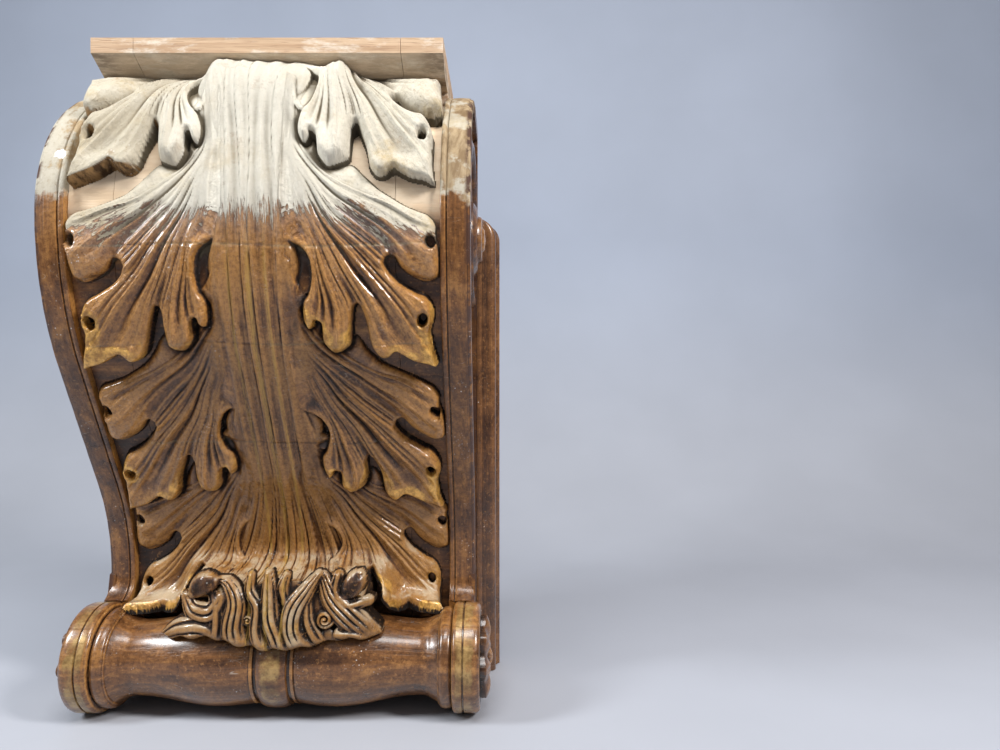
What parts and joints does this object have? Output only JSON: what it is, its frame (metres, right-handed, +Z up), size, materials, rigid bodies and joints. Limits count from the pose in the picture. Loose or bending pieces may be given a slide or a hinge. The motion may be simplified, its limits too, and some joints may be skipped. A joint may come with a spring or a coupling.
{
  "type": "wooden corbel bracket",
  "caption": "Carved wooden corbel: scroll cheeks, acanthus leaf down the front, turned roll at the foot and a moulded board on top.",
  "frame": {"origin": "centre of the flat back face that goes against the wall, at half the corbel's height", "axes": "+Y into the wall, so the carved front faces -Y; +Z up; +X to the right as seen from the front"},
  "size_m": [0.306, 0.1698, 0.4577],
  "materials": {
    "bare_wood": "bare pine, matt, with whitish residue",
    "varnished_wood": "dark red-brown varnish, glossy, worn",
    "leaf_finish": "dark varnish with worn gold, a cream ground showing at the top",
    "gilt_wood": "worn bronze gilding under varnish"
  },
  "bodies": {
    "root": {"core_middle": "bare_wood", "core_left": "bare_wood", "core_right": "bare_wood", "cheek_left": "varnished_wood", "cheek_right": "varnished_wood", "acanthus_leaf": "leaf_finish", "roll": "varnished_wood", "rosette_left": "gilt_wood", "rosette_right": "gilt_wood", "volute_eye_left": "varnished_wood", "volute_eye_right": "varnished_wood", "back_moulding_left": "varnished_wood", "back_moulding_right": "varnished_wood"}
  },
  "joints": []
}
